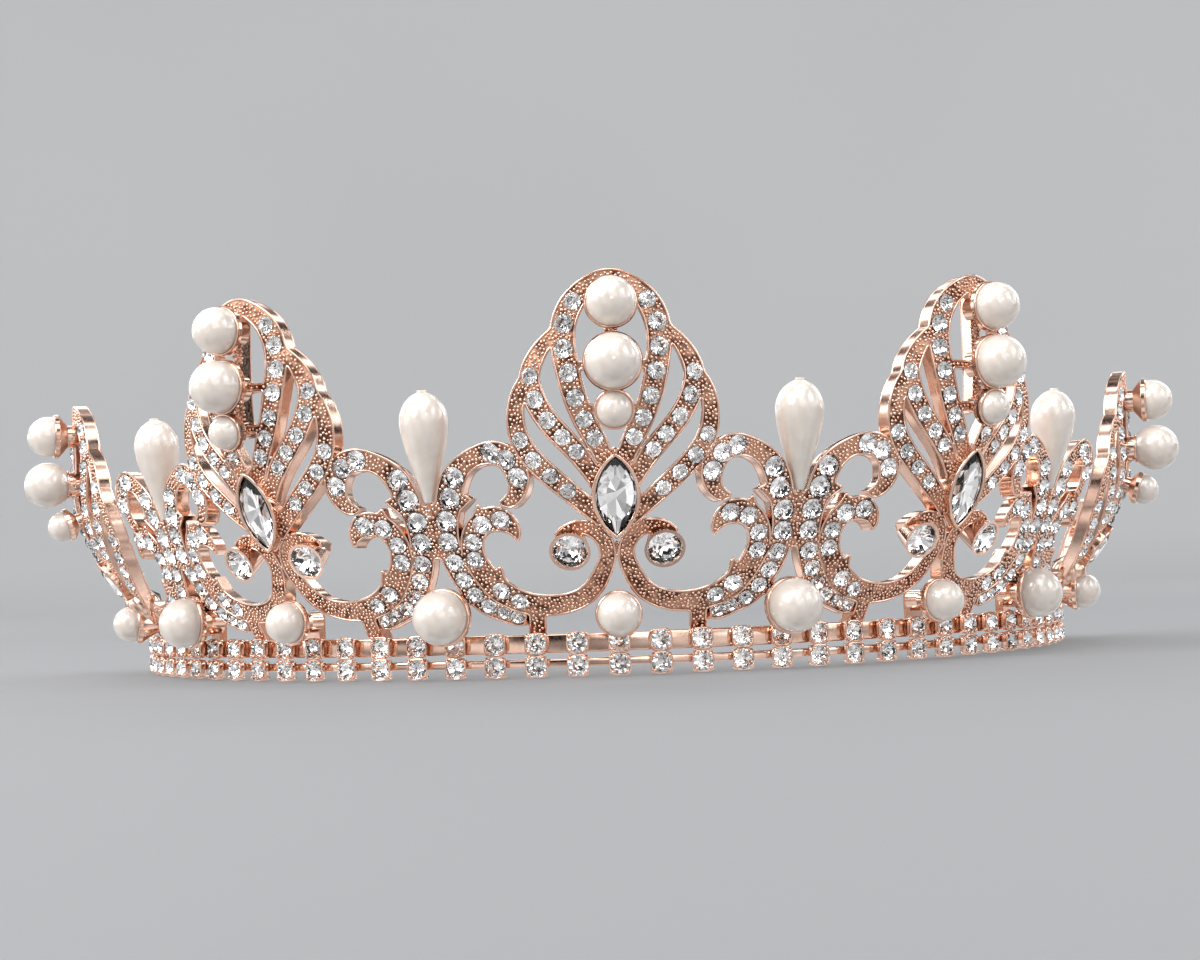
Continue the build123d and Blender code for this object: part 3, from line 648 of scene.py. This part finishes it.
class Casting:
    """A casting's CAD mesh, with its front and back surfaces and their edges."""

    def __init__(self, node, out, stones, pearls=()):
        self.node = node
        self.out = out
        self.extras = []
        self.stones = stones
        self.seats = []
        self.pearls = pearls
        self.points, self.triangles = node_arrays(node)
        self.low, self.high = self.points.min(axis=0), self.points.max(axis=0)
        self.normals, self.areas = triangle_normals(self.points, self.triangles)
        self.ends, self.owner, self.first, self.second = edge_pairs(self.triangles)

    def surface(self, facing):
        """Triangles of the curved surface that faces a direction, seats left out."""
        wanted = self.normals @ facing > FRONT_FACING
        for centre, radius in self.pearls:
            far = np.linalg.norm(self.points - centre, axis=1)[self.triangles].max(axis=1)
            wanted &= far > radius + PEARL_SEAT
        one, two = self.owner[self.first], self.owner[self.second]
        joined = wanted[one] & wanted[two]
        joined &= (self.normals[one] * self.normals[two]).sum(axis=1) > SAME_SURFACE
        label = joined_labels(len(wanted), np.column_stack((one[joined], two[joined])))
        chosen = np.zeros(len(self.triangles), bool)
        for root in np.unique(label[wanted]):
            members = wanted & (label == root)
            mean = unit((self.normals[members] * self.areas[members][:, None]).sum(axis=0))
            bend = (self.normals[members] @ mean).min()
            if self.areas[members].sum() > LEAST_SURFACE and bend < FLAT:
                chosen |= members
        return chosen

    def loops(self, chosen):
        """Closed runs of edges round triangles: (start, end, inside, outside triangle)."""
        found = {}
        for a, b in ((self.first, self.second), (self.second, self.first)):
            edge = chosen[self.owner[a]] & ~chosen[self.owner[b]]
            for mine, other in zip(a[edge], b[edge]):
                start, end = self.ends[mine]
                found[int(start)] = (int(end), int(self.owner[mine]), int(self.owner[other]))
        runs = []
        while found:
            start, step = found.popitem()
            run = [(start, *step)]
            while step[0] in found:
                here = step[0]
                step = found.pop(here)
                run.append((here, *step))
            runs.append(run)
        return runs

    def rim_lines(self, chosen, others):
        """Lines along the free edges of a surface: points, inward and normal vectors."""
        lines = []
        for run in self.loops(chosen):
            marks = []
            for start, end, inside, outside in run:
                a, b = self.points[start], self.points[end]
                middle = (a + b) / 2
                normal = self.normals[inside]
                inward = np.cross(normal, b - a)
                inward /= max(np.linalg.norm(inward), 1e-12)
                wall = self.normals[outside]
                free = wall @ inward < EDGE_DROP and abs(wall @ self.out) < EDGE_TURN
                seat = self.in_seat(middle)
                if free and not seat and touches(middle - normal * TOUCH_DEPTH, others):
                    free = False
                marks.append((a, inward, normal, "seat" if seat else "rim" if free else "stop"))
            lines += split_run(marks)
        return lines

    def in_seat(self, point):
        """Whether a point is on a round stone's seat."""
        for stone in self.seats:
            along, distance, _ = stone.offsets(point)
            if distance < stone.radius + SEAT_SLACK and abs(along) < SEAT_REACH:
                return True
        return False


def touches(point, others):
    """Whether a point is on the surface of another casting."""
    where = Vector(point)
    return any(tree.find_nearest(where, TOUCHING)[0] is not None for tree in others)


def split_run(marks):
    """Rim lines of one closed run: stops break it, short gaps at seats are bridged."""
    kinds = [mark[3] for mark in marks]
    if "rim" not in kinds:
        return []
    if "stop" not in kinds:
        kept = [mark for mark in marks if mark[3] == "rim"]
        return [(kept, True)] if len(kept) > 5 else []
    shift = kinds.index("stop")
    lines, line = [], []
    for mark in marks[shift:] + marks[:shift + 1]:
        if mark[3] == "stop":
            if len(line) > 3:
                lines.append((line + [mark], False))
            line = []
        elif mark[3] == "rim":
            line.append(mark)
    return lines


def resample(marks, closed, spacing):
    """Evenly spaced points of a rim line with smoothed inward and normal vectors."""
    points, inward, normal = (np.array([mark[i] for mark in marks]) for i in range(3))
    if closed:
        points, inward, normal = (np.vstack((v, v[:1])) for v in (points, inward, normal))
    step = np.linalg.norm(np.diff(points, axis=0), axis=1)
    length = np.concatenate(((0.0,), np.cumsum(step)))
    count = max(int(length[-1] / spacing), 6)
    at = np.linspace(0.0, length[-1], count + 1)
    at = at[:-1] if closed else at
    points, *vectors = (np.column_stack([np.interp(at, length, v[:, i]) for i in range(3)])
                        for v in (points, inward, normal))
    vectors = [smoothed(v, closed, 2) for v in vectors]
    return smoothed(points, closed, 1), *(v / np.linalg.norm(v, axis=1)[:, None] for v in vectors)


def smoothed(values, closed, rounds):
    """Values averaged with their neighbours along a line."""
    for _ in range(rounds):
        if closed:
            values = (np.roll(values, 1, axis=0) + 2 * values + np.roll(values, -1, axis=0)) / 4
        else:
            inner = (values[:-2] + 2 * values[1:-1] + values[2:]) / 4
            values = np.vstack((values[:1], inner, values[-1:]))
    return values


def rim_parts(lines, radius, inset, lift):
    """Tubes along rim lines, and the points they pass through."""
    parts, centres = [], []
    for marks, closed in lines:
        points, inward, normal = resample(marks, closed, RIM_SPACING)
        line = points + inward * inset + normal * lift
        parts.append(smooth_part(tube(line, radius, closed)))
        centres.append(line)
    return parts, np.concatenate(centres) if centres else np.zeros((0, 3))


def grain_places(casting, chosen, keep_off, rng):
    """Evenly crowded random points on a surface, clear of rims, stones and prongs.

    keep_off is a list of (points, distance)."""
    numbers = np.flatnonzero(chosen)
    area = casting.areas[numbers]
    count = int(area.sum() / GRAIN_PITCH ** 2 * GRAIN_TRIES)
    picks = numbers[rng.choice(len(numbers), count, p=area / area.sum())]
    one, two = rng.random(count), rng.random(count)
    over = one + two > 1
    one[over], two[over] = 1 - one[over], 1 - two[over]
    a, b, c = (casting.points[casting.triangles[picks, i]] for i in range(3))
    points = a + (b - a) * one[:, None] + (c - a) * two[:, None]
    free = np.ones(count, bool)
    for stone in casting.seats:
        along, distance, _ = stone.offsets(points)
        free &= (distance > stone.radius + GRAIN_TO_STONE) | (np.abs(along) > STONE_HOLD)
    for centre, radius in casting.pearls:
        free &= np.linalg.norm(points - centre, axis=1) > radius + GRAIN_TO_PEARL
    points, picks = points[free], picks[free]
    for obstacles, distance in keep_off:
        if len(obstacles) and len(points):
            tree = KDTree(len(obstacles))
            for i, obstacle in enumerate(obstacles):
                tree.insert(obstacle, i)
            tree.balance()
            clear = [tree.find(point)[2] > distance for point in points]
            points, picks = points[clear], picks[clear]
    cells, kept = {}, []
    for i, point in enumerate(points):
        cell = tuple(np.floor(point / GRAIN_PITCH).astype(int))
        near = [kept_point for dx in (-1, 0, 1) for dy in (-1, 0, 1) for dz in (-1, 0, 1)
                for kept_point in cells.get((cell[0] + dx, cell[1] + dy, cell[2] + dz), ())]
        if all(((point - other) ** 2).sum() > GRAIN_PITCH ** 2 for other in near):
            cells.setdefault(cell, []).append(point)
            share = GRAIN_SIZES[0] + GRAIN_SIZES[1] * rng.random()
            kept.append((point, casting.normals[picks[i]], share))
    return kept


def prong_places(casting):
    """Pairs of beads between stones that follow each other along a ribbon."""
    places = []
    stones = casting.stones
    tree = BVHTree.FromPolygons(casting.points.tolist(), casting.triangles.tolist())
    for i, stone in enumerate(stones):
        for other in stones[i + 1:]:
            gap = other.centre - stone.centre
            distance = np.linalg.norm(gap)
            if distance < stone.radius + other.radius + PRONG_GAP:
                middle = stone.centre + gap * stone.radius / (stone.radius + other.radius)
                axis = unit(stone.axis + other.axis)
                across = unit(np.cross(axis, gap))
                reach = PRONG_SPREAD * (stone.radius + other.radius) / 2
                for sign in (-1, 1):
                    place = middle + across * reach * sign
                    below = tree.ray_cast(Vector(place + axis * MM), Vector(-axis), 2 * MM)[0]
                    if below is not None:
                        places.append((place + axis * PRONG_LIFT, axis, 1.0))
    return places


def opened_seats(casting):
    """The casting's own mesh with its round seats deepened to a cone."""
    mesh = frame["nodes"][casting.node].data.copy()
    points = rows_of(mesh.vertices, "co")
    for stone in casting.seats:
        along, distance, radial = stone.offsets(points)
        floor = ((np.abs(along + STONE_SINK) < SEAT_SLACK)
                 & (distance < stone.radius + SEAT_FIT))
        depth = culet_depth(stone) + SEAT_ROOM
        points[floor] = stone.centre - stone.axis * depth + radial[floor] * SEAT_FOOT_SHARE
    mesh.vertices.foreach_set("co", points.ravel())
    return mesh


def face_kinds(casting, mesh):
    """Which of front ground, polished wall and plain back each face of a casting is."""
    ahead = rows_of(mesh.polygons, "normal") @ casting.out
    flat = np.abs(ahead) > FRONT_FACING
    middles = rows_of(mesh.polygons, "center")
    for stone in casting.stones:
        if stone.radius > COLLET_STONE_RADIUS:
            along, distance, _ = stone.offsets(middles)
            flat &= (distance > stone.radius + COLLET_WALL) | (along < -MM)
    return np.where(flat, np.where(ahead > 0, 0, 2), 1).astype(np.int32)


def add_casting(casting, others, rng):
    """A casting with polished walls, and its rims, grain and prongs as a second piece."""
    front = casting.surface(casting.out)
    back = casting.surface(-casting.out)
    rims, rim_points = rim_parts(casting.rim_lines(front, others), RIM_RADIUS, RIM_INSET,
                                 RIM_LIFT)
    back_rims, _ = rim_parts(casting.rim_lines(back, others), BACK_RIM_RADIUS,
                             BACK_RIM_INSET, -BACK_RIM_INSET)
    prongs = prong_places(casting)
    prong_points = np.array([place[0] for place in prongs]) if prongs else np.zeros((0, 3))
    grains = grain_places(casting, front, [(rim_points, GRAIN_TO_EDGE),
                                           (prong_points, GRAIN_PITCH)], rng)
    mesh = opened_seats(casting)
    add_mesh(f"{casting.node}_casting", mesh, face_kinds(casting, mesh), (CAST, POLISHED, BACK),
             [casting.node])
    parts = rims + back_rims + casting.extras
    for places, radius in ((grains, GRAIN_RADIUS), (prongs, PRONG_RADIUS)):
        if places:
            parts.append(smooth_part(bead_field(places, radius), 1))
    add_piece(f"{casting.node}_relief", parts, (POLISHED, GRAIN))


# ---- band
def rounded_section(depth, height, corner):
    """Rounded rectangle about its own centre, as (outward, upward) points."""
    points = []
    for quarter, (x, z) in enumerate(CORNERS):
        for i in range(CORNER_STEPS + 1):
            turn = math.pi / 2 * (quarter + i / CORNER_STEPS)
            points.append((x * (depth / 2 - corner) + corner * math.cos(turn),
                           z * (height / 2 - corner) + corner * math.sin(turn)))
    return points


def add_rail(node):
    """Band rail with softly rounded edges, over the CAD rail's arc."""
    points, _ = node_arrays(node)
    distance = np.hypot(points[:, 0], points[:, 1])
    angle = np.arctan2(points[:, 0], -points[:, 1])
    low, high = points[:, 2].min(), points[:, 2].max()
    inside, outside = distance.min(), distance.max()
    section = rounded_section(outside - inside, high - low, RAIL_CORNER)
    middle, height = (inside + outside) / 2, (low + high) / 2
    turns = np.linspace(angle.min(), angle.max(), RAIL_STEPS + 1)
    rings = []
    for turn in turns:
        for outward, upward in section:
            r = middle + outward
            rings.append((r * math.sin(turn), -r * math.cos(turn), height + upward))
    count = len(section)
    faces = quads(RAIL_STEPS + 1, count)
    faces.append(tuple(range(count)))
    faces.append(tuple(RAIL_STEPS * count + k for k in reversed(range(count))))
    add_plated(f"{node}_strip", [smooth_part((rings, faces))], node)


def add_eyelet(node):
    """Rounded ring at one end of the band, round its mount's axis."""
    mount = next(m for m in frame["record"]["mounts"] if m["name"] == node)
    centre, axis = np.array(mount["pos_m"]), unit(mount["axis"])
    low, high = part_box(node)
    outer = (high.z - low.z) / 2
    hole = mount["dims"]["r_mm"] * MM
    depth = mount["dims"]["length_mm"] * MM
    section = rounded_section(outer - hole, depth, EYELET_CORNER)
    side, up = cross_axes(axis)
    rings = []
    for turn in circle(EYELET_STEPS):
        out = side * math.cos(turn) + up * math.sin(turn)
        for across, along in section:
            rings.append(centre + out * ((outer + hole) / 2 + across) + axis * along)
    faces = quads(EYELET_STEPS, len(section), closed=True, flipped=True)
    add_plated(f"{node}_ring", [smooth_part((rings, faces))], node)


def squarish(half, power):
    """Points round a square with soft corners, as (x, y)."""
    points = []
    for turn in circle(CUP_SIDES):
        c, s = math.cos(turn), math.sin(turn)
        reach = half / (abs(c) ** power + abs(s) ** power) ** (1 / power)
        points.append((reach * c, reach * s))
    return points


def claw_setting(stone):
    """Cup with a seat for one round stone, and four claws that hold it."""
    r = stone.radius
    points = []
    for share, height, power in CUP_RINGS:
        points += [(x, y, height) for x, y in squarish(r * share, power)]
    points += [(0.0, 0.0, -CUP_DEPTH), (0.0, 0.0, -CUP_DEPTH + SEAT_ROOM)]
    faces = quads(len(CUP_RINGS), CUP_SIDES) + end_fans(len(CUP_RINGS), CUP_SIDES)
    parts = [smooth_part((placed(np.array(points), stone.centre, stone.axis), faces))]
    for x, y in CORNERS:
        out = (stone.side * x + stone.up * y) / math.sqrt(2)
        path = [stone.centre + out * r * reach + stone.axis * height
                for reach, height in CLAW_PATH]
        parts.append(smooth_part(tube(path, CLAW_RADII, False)))
    return parts


def add_band(rng):
    """Rails, end rings, claw settings and their stones."""
    for node in ("upper_rail", "lower_rail"):
        add_rail(node)
    for node in ("end_eyelet_left", "end_eyelet_right"):
        add_eyelet(node)
    stones = stones_of("band_crystals")
    parts = [part for stone in stones for part in claw_setting(stone)]
    add_plated("band_claw_settings", parts, "band_claw_cups")
    add_stones("band_crystals", stones, rng)


# ---- settings
def add_marquise(name, place):
    """Faceted marquise stone over the CAD's plain one."""
    girdle, under, table = (
        place.outline(place.length * length, place.width * width, place.height * height)
        for length, width, height in MARQUISE_RINGS)
    count = len(girdle)
    keel = [place.centre + place.up * place.length * share + place.axis * KEEL_LIFT
            for share in (KEEL_SHARE, -KEEL_SHARE)]
    points = np.concatenate((girdle, under, table, keel))
    front = [tuple(range(2 * count, 3 * count))]
    back = []
    for k in range(count):
        m = (k + 1) % count
        front.append((k, m, 2 * count + k))
        front.append((2 * count + k, m, 2 * count + m))
        back.append((k, count + k, count + m, m))
        upper = [(girdle[i] - place.centre) @ place.up > 0 for i in (k, m)]
        near = 3 * count + (0 if upper[0] else 1)
        back.append((count + k, near, count + m))
        if upper[0] != upper[1]:
            back.append((count + m, near, 3 * count + (0 if upper[1] else 1)))
    add_piece(f"marquise_cut_{name}", [(points, [(front, 0), (back, 1)], False)], (GLASS, FOIL),
              [f"marquise_crystal_{name}"])


def lip(line, axis, radius):
    """Rounded lip along a closed line whose plane is square to an axis."""
    return smooth_part(tube(line, radius, True, np.tile(axis, (len(line), 1))))


def round_lip(centre, axis, reach, radius):
    """Rounded lip along a circle."""
    side, up = cross_axes(axis)
    line = [centre + (side * math.cos(turn) + up * math.sin(turn)) * reach
            for turn in circle(LIP_STEPS)]
    return lip(line, axis, radius)


def bezel_lip(place):
    """Rounded lip on the wall round a marquise."""
    line = place.outline(place.length + BEZEL_LIP_GROWTH[0], place.width + BEZEL_LIP_GROWTH[1],
                         BEZEL_LIP_HEIGHT, BEZEL_LIP_STEPS)
    return lip(line, place.axis, BEZEL_LIP_RADIUS)


def collet_lip(stone):
    """Rounded lip round the stone at the end of a scroll."""
    return round_lip(stone.centre + stone.axis * COLLET_LIP_HEIGHT, stone.axis,
                     stone.radius + COLLET_LIP_OFFSET, COLLET_LIP_RADIUS)


def cup_lip(centre, radius, seat_points):
    """Rounded lip on the rim of a pearl's cup; the seat's points show where it opens."""
    distance = np.linalg.norm(seat_points - centre, axis=1)
    seat = seat_points[(distance > radius) & (distance < radius + CUP_SEAT_SLACK)]
    axis = -unit((seat - centre).mean(axis=0))
    height = ((seat - centre) @ axis).max()
    reach = math.sqrt(radius ** 2 - height ** 2) + CUP_LIP_OFFSET
    return round_lip(centre + axis * height, axis, reach, CUP_LIP_RADIUS)


def solder_web(marquise, scrolls, across):
    """Grains that close the narrow gap between a pair of scrolls, under the marquise."""
    tip = marquise.centre - marquise.up * marquise.length / 2
    fronts = [scroll.points[np.unique(scroll.triangles[scroll.surface(scroll.out)])]
              for scroll in scrolls]
    places = []
    for height in np.arange(tip[2] - WEB_FOOT, tip[2] - WEB_TOP, WEB_PITCH):
        sides = []
        for front in fronts:
            level = front[np.abs(front[:, 2] - height) < WEB_REACH]
            if len(level):
                sides.append(level[np.argmin(np.abs(level @ across))])
        if len(sides) == 2:
            middle = (sides[0] + sides[1]) / 2
            middle[2] = height
            share = (np.linalg.norm(sides[0] - sides[1]) / 2 + WEB_LAP) / GRAIN_RADIUS
            places.append((middle - marquise.axis * WEB_SINK, marquise.axis, share))
    return smooth_part(bead_field(places, GRAIN_RADIUS), 1)


def paint(node, material):
    """A material on a CAD node whose shape stays as it is."""
    for slot in frame["nodes"][node].material_slots:
        slot.material = material


def add_ornaments(rng, numbers):
    """Every casting with its stones, pearls and settings."""
    castings = []
    for name in PALMETTES:
        marquise = Marquise(f"marquise_crystal_{name}")
        out = unit((marquise.centre[0], marquise.centre[1], 0.0))
        across = np.array((-out[1], out[0], 0.0))
        pearls = pearls_of(f"palmette_pearls_{name}")
        stones = stones_of(f"palmette_crystals_{name}")
        palmette = Casting(f"palmette_{name}", out, stones, pearls)
        palmette.extras = [bezel_lip(marquise)]
        palmette.extras += [cup_lip(*pearl, palmette.points) for pearl in pearls]
        castings.append(palmette)
        add_stones(f"palmette_crystals_{name}", stones, rng)
        add_marquise(name, marquise)
        paint(f"palmette_pearls_{name}", PEARL)
        stones = stones_of(f"scroll_crystals_{name}")
        add_stones(f"scroll_crystals_{name}", stones, rng)
        for side, sign in (("left", -1), ("right", 1)):
            own = [stone for stone in stones if sign * (stone.centre @ across) > 0]
            scroll = Casting(f"{side}_scroll_{name}", out, own)
            scroll.extras = [collet_lip(stone) for stone in own
                             if stone.radius > COLLET_STONE_RADIUS]
            castings.append(scroll)
        castings[-1].extras.append(solder_web(marquise, castings[-2:], across))
    for name in DROPS:
        pearl = f"drop_pearl_{name}"
        low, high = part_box(pearl)
        out = unit((low.x + high.x, low.y + high.y, 0.0))
        stones = stones_of(f"drop_crystals_{name}")
        castings.append(Casting(f"drop_frame_{name}", out, stones))
        add_stones(f"drop_crystals_{name}", stones, rng)
        paint(pearl, PEARL)
    stones = [stone for casting in castings for stone in casting.stones]
    for casting in castings:
        casting.seats = [stone for stone in stones
                         if np.all(stone.centre > casting.low - SEAT_SEARCH)
                         and np.all(stone.centre < casting.high + SEAT_SEARCH)]
    trees = {c.node: BVHTree.FromPolygons(c.points.tolist(), c.triangles.tolist())
             for c in castings}
    for casting in castings:
        near = [trees[c.node] for c in castings if c is not casting and close(c, casting)]
        add_casting(casting, near, numbers)
    for size in ("small", "large"):
        cups = f"base_pearl_cups_{size}"
        points, _ = node_arrays(cups)
        lips = [cup_lip(*pearl, points) for pearl in pearls_of(f"base_pearls_{size}")]
        add_plated(f"{cups}_lips", lips)
        paint(cups, POLISHED)
        paint(f"base_pearls_{size}", PEARL)


def close(one, other):
    """Whether two castings' boxes touch."""
    return np.all(one.low < other.high + MM) and np.all(other.low < one.high + MM)


# ---- stage
def backdrop():
    """Pale floor that rises in one smooth curve into the backdrop all round."""
    n = Nodes(bpy.data.materials.new("pale_paper"))
    n.link(n.ramp(n.noise(0.5, 2.0), ((0.3, PAPER_DARK), (0.7, PAPER_LIGHT))), "Base Color")
    distance = n.node("VectorMath")
    distance.operation = "LENGTH"
    n.link(n.place, distance.inputs[0])
    share = n.node("Math")
    share.operation = "DIVIDE"
    n.link(distance.outputs["Value"], share.inputs[0])
    share.inputs[1].default_value = PAPER_REACH
    # painted light: emission that grows with distance from the tiara lifts its shadow on the
    # floor and evens out the lamps' falloff on the far floor and wall
    n.link(n.ramp(share.outputs["Value"], PAPER_GLOW), "Emission Color")
    n.bump(n.noise(2 * MM, 2.0), 0.1 * MM, 0.2)
    n.set(Roughness=0.9, Emission_Strength=1.0)
    profile = [(STAGE_RADIUS * i / FLOOR_STEPS, 0.0) for i in range(1, FLOOR_STEPS + 1)]
    for i in range(1, CURVE_STEPS + 1):
        turn = math.pi / 2 * i / CURVE_STEPS
        profile.append((STAGE_RADIUS + STAGE_CURVE * math.sin(turn),
                        STAGE_CURVE * (1 - math.cos(turn))))
    profile.append((STAGE_RADIUS + STAGE_CURVE, STAGE_HEIGHT))
    points = [(0.0, 0.0, 0.0)]
    for reach, height in profile:
        points += [(reach * math.cos(turn), reach * math.sin(turn), height)
                   for turn in circle(STAGE_SIDES)]
    faces = [(0, 1 + k, 1 + (k + 1) % STAGE_SIDES) for k in range(STAGE_SIDES)]
    faces += quads(len(profile), STAGE_SIDES, start=1, flipped=True)
    mesh = bpy.data.meshes.new("backdrop")
    mesh.from_pydata(points, [], faces)
    mesh.polygons.foreach_set("use_smooth", [True] * len(faces))
    mesh.materials.append(n.owner)
    floor = bpy.data.objects.new("backdrop", mesh)
    floor.visible_glossy = False
    floor.visible_diffuse = False
    floor.visible_transmission = False
    bpy.context.scene.collection.objects.link(floor)


def surroundings():
    """Room round the stage: patches of light and dark above, a pale table below."""
    world = bpy.data.worlds.new("studio")
    n = Nodes(world, "Background", "Generated")
    patches = n.noise(ROOM_PATCH, 2.0, 0.6)
    parts = n.node("SeparateXYZ")
    n.link(n.place, parts.inputs["Vector"])
    mixed = n.node("Mix")
    mixed.data_type = "RGBA"
    for source, stops, target in ((parts.outputs["Z"], TABLE_EDGE, mixed.inputs[0]),
                                  (patches, TABLE_TONES, mixed.inputs[6]),
                                  (patches, ROOM_TONES, mixed.inputs[7])):
        n.link(n.ramp(source, [(position, (tone, tone, tone * ROOM_BLUE))
                               for position, tone in stops]), target)
    n.link(mixed.outputs[2], "Color")
    n.set(Strength=ROOM_STRENGTH)
    bpy.context.scene.world = world


def studio():
    """Soft boxes in front, at both sides and behind."""
    for name, place, size, power, colour in SOFT_BOXES:
        light = bpy.data.lights.new(name, "AREA")
        light.shape = "RECTANGLE"
        light.size, light.size_y = size
        light.energy = power
        light.color = colour
        lamp = bpy.data.objects.new(name, light)
        lamp.location = place
        aim = Vector(LIT_POINT) - Vector(place)
        lamp.rotation_euler = aim.to_track_quat("-Z", "Y").to_euler()
        bpy.context.scene.collection.objects.link(lamp)
    bpy.context.scene.view_settings.view_transform = "Standard"


def camera():
    """Camera a little over the band's height, close to the front."""
    yaw, pitch, roll = (math.radians(a) for a in CAMERA_TURN)
    forward = Vector((math.sin(yaw) * math.cos(pitch), math.cos(yaw) * math.cos(pitch),
                      math.sin(pitch)))
    level = forward.cross(Vector((0, 0, 1))).normalized()
    upright = level.cross(forward)
    right = level * math.cos(roll) + upright * math.sin(roll)
    up = upright * math.cos(roll) - level * math.sin(roll)
    data = bpy.data.cameras.new("camera")
    data.lens = CAMERA_LENS
    data.sensor_width = 36.0
    data.clip_start = 0.01
    view = bpy.data.objects.new("camera", data)
    rotation = Matrix((right, up, -forward)).transposed()
    view.matrix_world = Matrix.Translation(CAMERA_PLACE) @ rotation.to_4x4()
    bpy.context.scene.collection.objects.link(view)
    bpy.context.scene.camera = view


CAST, BACK, GRAIN, POLISHED, GLASS, FOIL, PEARL = all_materials()

stone_turns = random.Random(SEED)
add_band(stone_turns)
add_ornaments(stone_turns, np.random.default_rng(SEED))
backdrop()
surroundings()
studio()
camera()

bpy.context.view_layer.update()
